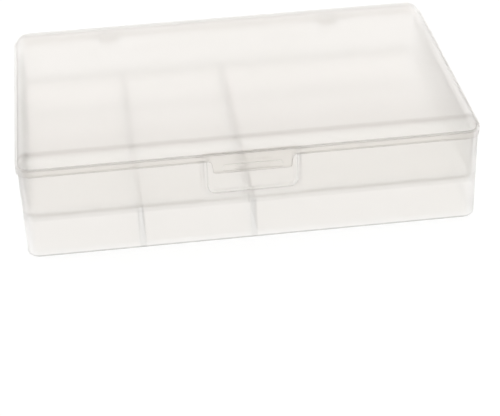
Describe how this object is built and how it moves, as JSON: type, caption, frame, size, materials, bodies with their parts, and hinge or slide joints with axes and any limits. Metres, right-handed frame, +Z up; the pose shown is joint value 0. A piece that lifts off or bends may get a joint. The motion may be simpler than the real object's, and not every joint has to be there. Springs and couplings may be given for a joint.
{
  "type": "lidded storage box",
  "caption": "Shallow two-layer storage box with a compartmented base, a lift-out tray and a clip-hinged lid with a front snap tab.",
  "frame": {"origin": "middle of the base's flat underside, on the table", "axes": "+X along the long side to the right as seen from the latch, -Y towards the latch, +Y towards the hinges, +Z up"},
  "size_m": [0.24, 0.1651, 0.058],
  "materials": {
    "base_plastic": "frosted translucent polypropylene, satin",
    "tray_plastic": "frosted translucent polypropylene, satin",
    "lid_plastic": "frosted translucent polypropylene, satin"
  },
  "bodies": {
    "base": {"base_box": "base_plastic"},
    "tray": {"lift_out_tray": "tray_plastic"},
    "lid": {"lid": "lid_plastic"}
  },
  "joints": [
    {"name": "lid_hinge", "type": "hinge", "parent": "base", "child": "lid", "pos_m": [0, 0.082, 0.0461], "axis": [-1, 0, 0], "range_deg": [0, 190]},
    {"name": "tray_lift", "type": "slide", "parent": "base", "child": "tray", "axis": [0, 0, 1], "range_m": [0, 0.004]}
  ]
}
